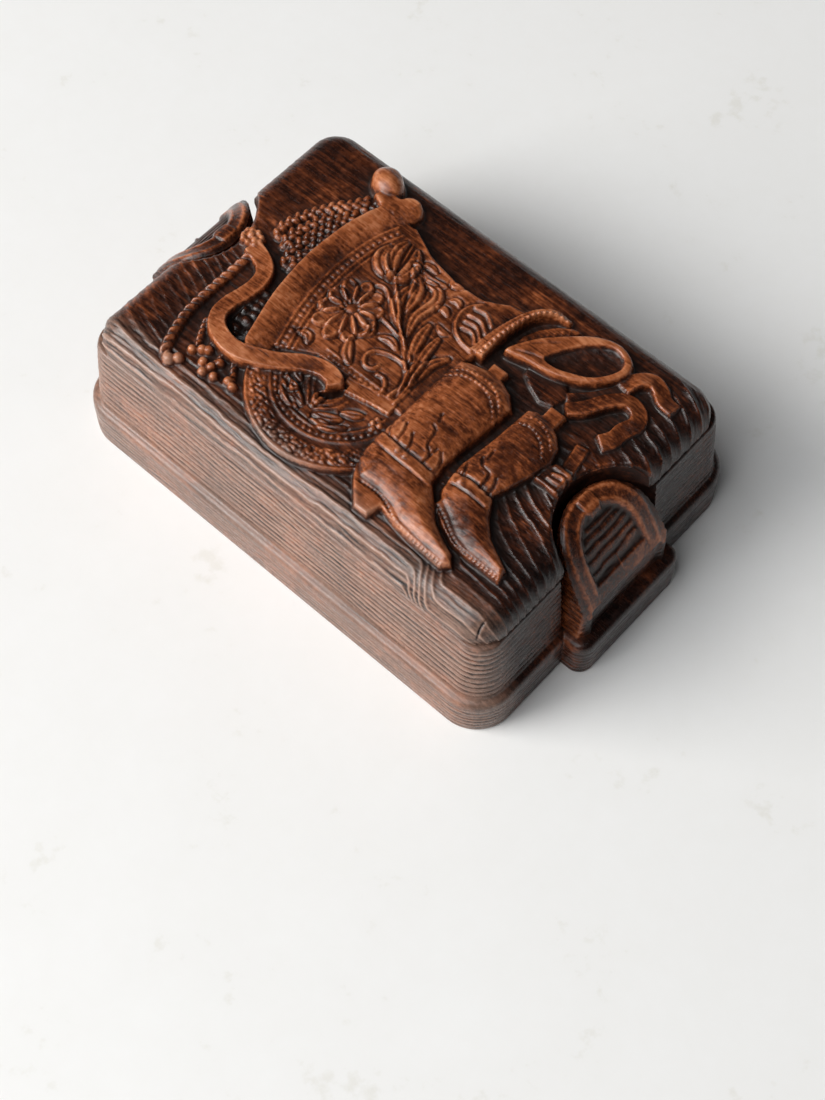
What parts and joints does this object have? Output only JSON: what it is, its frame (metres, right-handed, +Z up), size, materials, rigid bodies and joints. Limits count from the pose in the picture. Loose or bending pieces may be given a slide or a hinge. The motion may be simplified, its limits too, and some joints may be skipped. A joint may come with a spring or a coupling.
{
  "type": "jewelry box",
  "caption": "Carved-look wooden jewelry box with a hinged lid in low relief, a plinth base and a stirrup-shaped lug at each end.",
  "frame": {"origin": "middle of the underside, on the plane it stands on", "axes": "+X along the box towards the right-hand lug as the relief is read, +Y towards the hinges at the back, +Z up"},
  "size_m": [0.1944, 0.1266, 0.0622],
  "materials": {
    "stained_wood": "moulded wood, dark reddish-brown stain under a satin lacquer, rubbed lighter on the high spots",
    "velvet_lining": "short-pile wine-red flock",
    "felt": "pressed wool felt, dark green",
    "hinge_brass": "aged satin brass",
    "pin_steel": "brassed steel, worn"
  },
  "bodies": {
    "base": {"base_shell": "stained_wood", "floor_lining": "velvet_lining", "wall_lining": "velvet_lining", "underside_felt": "felt", "left_hinge_base_leaf": "hinge_brass", "left_hinge_pin": "pin_steel", "left_hinge_base_screw_outer": "hinge_brass", "left_hinge_base_screw_inner": "hinge_brass", "right_hinge_base_leaf": "hinge_brass", "right_hinge_pin": "pin_steel", "right_hinge_base_screw_outer": "hinge_brass", "right_hinge_base_screw_inner": "hinge_brass"},
    "lid": {"lid_shell": "stained_wood", "lid_lining": "velvet_lining", "left_hinge_lid_leaf": "hinge_brass", "left_hinge_lid_screw_outer": "hinge_brass", "left_hinge_lid_screw_inner": "hinge_brass", "right_hinge_lid_leaf": "hinge_brass", "right_hinge_lid_screw_outer": "hinge_brass", "right_hinge_lid_screw_inner": "hinge_brass"}
  },
  "joints": [
    {"name": "lid_hinge", "type": "hinge", "parent": "base", "child": "lid", "pos_m": [0, 0.057, 0.04565], "axis": [-1, 0, 0], "range_deg": [0, 105]}
  ]
}
